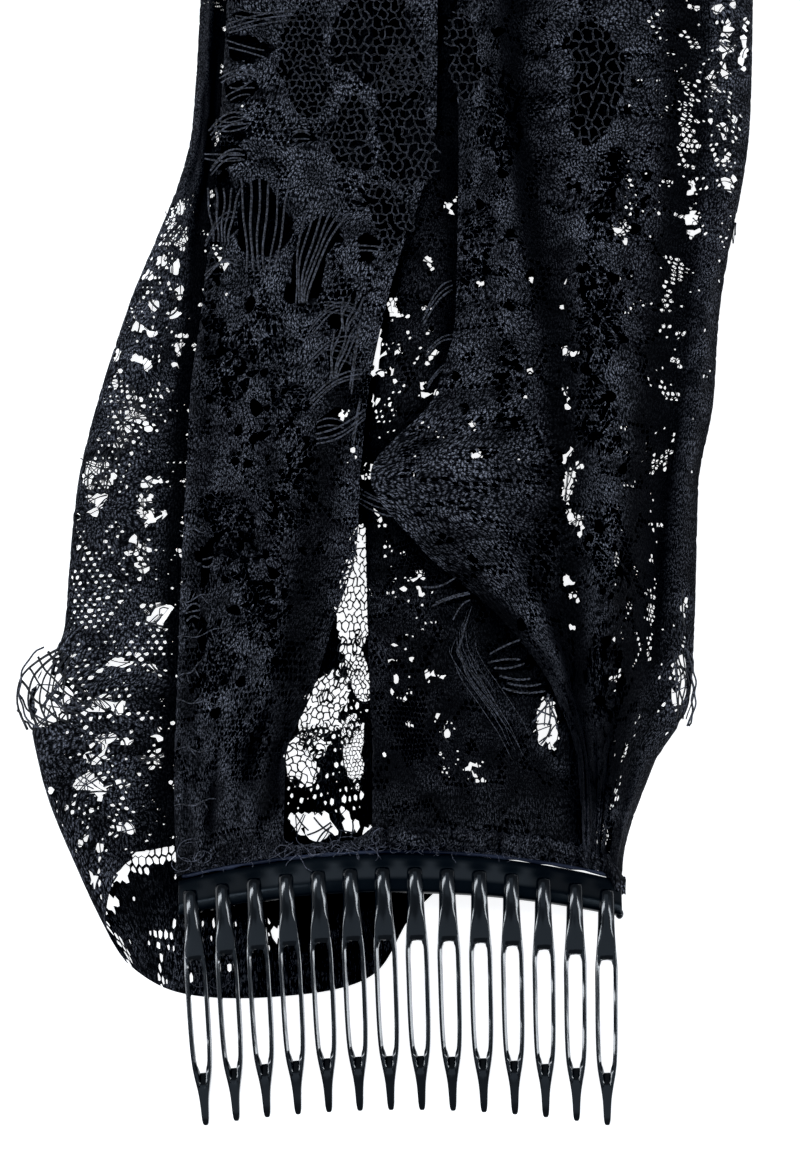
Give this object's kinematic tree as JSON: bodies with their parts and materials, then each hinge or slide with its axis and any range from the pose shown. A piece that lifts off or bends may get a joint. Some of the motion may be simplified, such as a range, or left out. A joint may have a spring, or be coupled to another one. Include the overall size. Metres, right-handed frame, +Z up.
{
  "type": "lace veil with hair comb",
  "caption": "Folded black lace veil gathered and glued to an arched plastic hair comb with long slotted teeth, lying flat.",
  "frame": {"origin": "under the middle of the whole object, on the surface that it lies on", "axes": "+X along the comb, +Y from the comb's teeth to the veil's free end, +Z up out of the surface"},
  "size_m": [0.1382, 0.2348, 0.0147],
  "materials": {
    "comb_plastic": "glossy moulded, dark blue-black",
    "dried_glue": "clear dried glue over black lace",
    "lace": "matt knitted lace of fine black yarn with a faint blue sheen"
  },
  "bodies": {
    "root": {"comb": "comb_plastic", "glue_line": "dried_glue", "gathered_heading": "lace", "lace_veil": "lace"}
  },
  "joints": []
}
